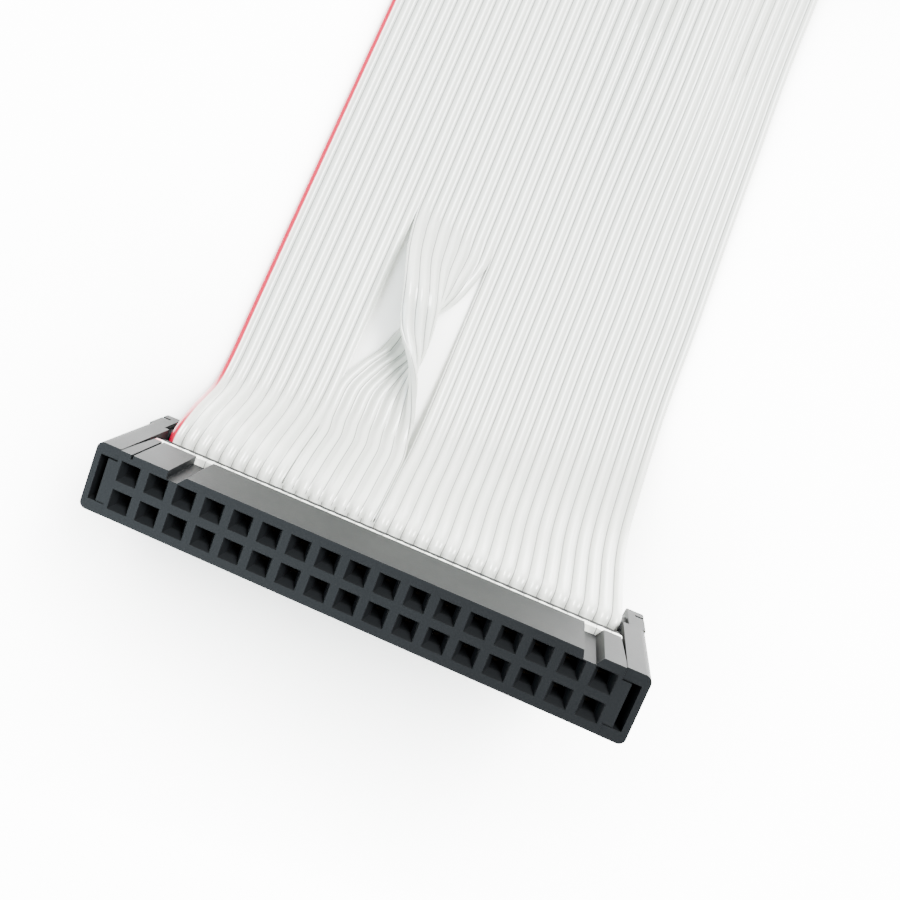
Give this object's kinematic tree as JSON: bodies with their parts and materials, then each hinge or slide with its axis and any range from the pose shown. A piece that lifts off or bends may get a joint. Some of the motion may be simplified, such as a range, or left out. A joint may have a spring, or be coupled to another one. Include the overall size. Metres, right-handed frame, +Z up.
{
  "type": "flat ribbon cable with socket connectors",
  "caption": "Grey flat ribbon cable with a red edge wire, one twisted wire group and a black two-row push-on socket with cover and strain relief at each end.",
  "frame": {"origin": "centre of the near socket's footprint, on the surface that the cable lies on", "axes": "+X along the near socket's row of contacts with wire 1 at -X, +Y the way the ribbon runs, +Z up from the surface"},
  "size_m": [0.0506, 0.1804, 0.0256],
  "materials": {
    "moulding": "moulded glass-filled polyester, satin",
    "ribbon_insulation": "soft PVC, semi-gloss",
    "contact_metal": "gold-flashed phosphor bronze",
    "wire_one_stripe": "soft PVC, semi-gloss"
  },
  "bodies": {
    "root": {"contact_01": "contact_metal", "contact_02": "contact_metal", "contact_03": "contact_metal", "contact_04": "contact_metal", "contact_05": "contact_metal", "contact_06": "contact_metal", "contact_07": "contact_metal", "contact_08": "contact_metal", "contact_09": "contact_metal", "contact_10": "contact_metal", "contact_11": "contact_metal", "contact_12": "contact_metal", "contact_13": "contact_metal", "contact_14": "contact_metal", "contact_15": "contact_metal", "contact_16": "contact_metal", "contact_17": "contact_metal", "contact_18": "contact_metal", "contact_19": "contact_metal", "contact_20": "contact_metal", "contact_21": "contact_metal", "contact_22": "contact_metal", "contact_23": "contact_metal", "contact_24": "contact_metal", "contact_25": "contact_metal", "contact_26": "contact_metal", "contact_27": "contact_metal", "contact_28": "contact_metal", "contact_29": "contact_metal", "contact_30": "contact_metal", "contact_31": "contact_metal", "contact_32": "contact_metal", "contact_33": "contact_metal", "contact_34": "contact_metal", "socket_body": "moulding", "cover": "moulding", "strain_relief": "moulding", "ribbon_clamped": "ribbon_insulation", "far_socket_body": "moulding", "far_cover": "moulding", "far_strain_relief": "moulding", "far_ribbon_clamped": "ribbon_insulation", "far_contacts_odd": "contact_metal", "far_contacts_even": "contact_metal", "ribbon_left_group": "ribbon_insulation", "ribbon_twisted_group": "ribbon_insulation", "ribbon_right_group": "ribbon_insulation", "ribbon_run": "ribbon_insulation", "ribbon_outward": "ribbon_insulation", "ribbon_return": "ribbon_insulation"}
  },
  "joints": []
}
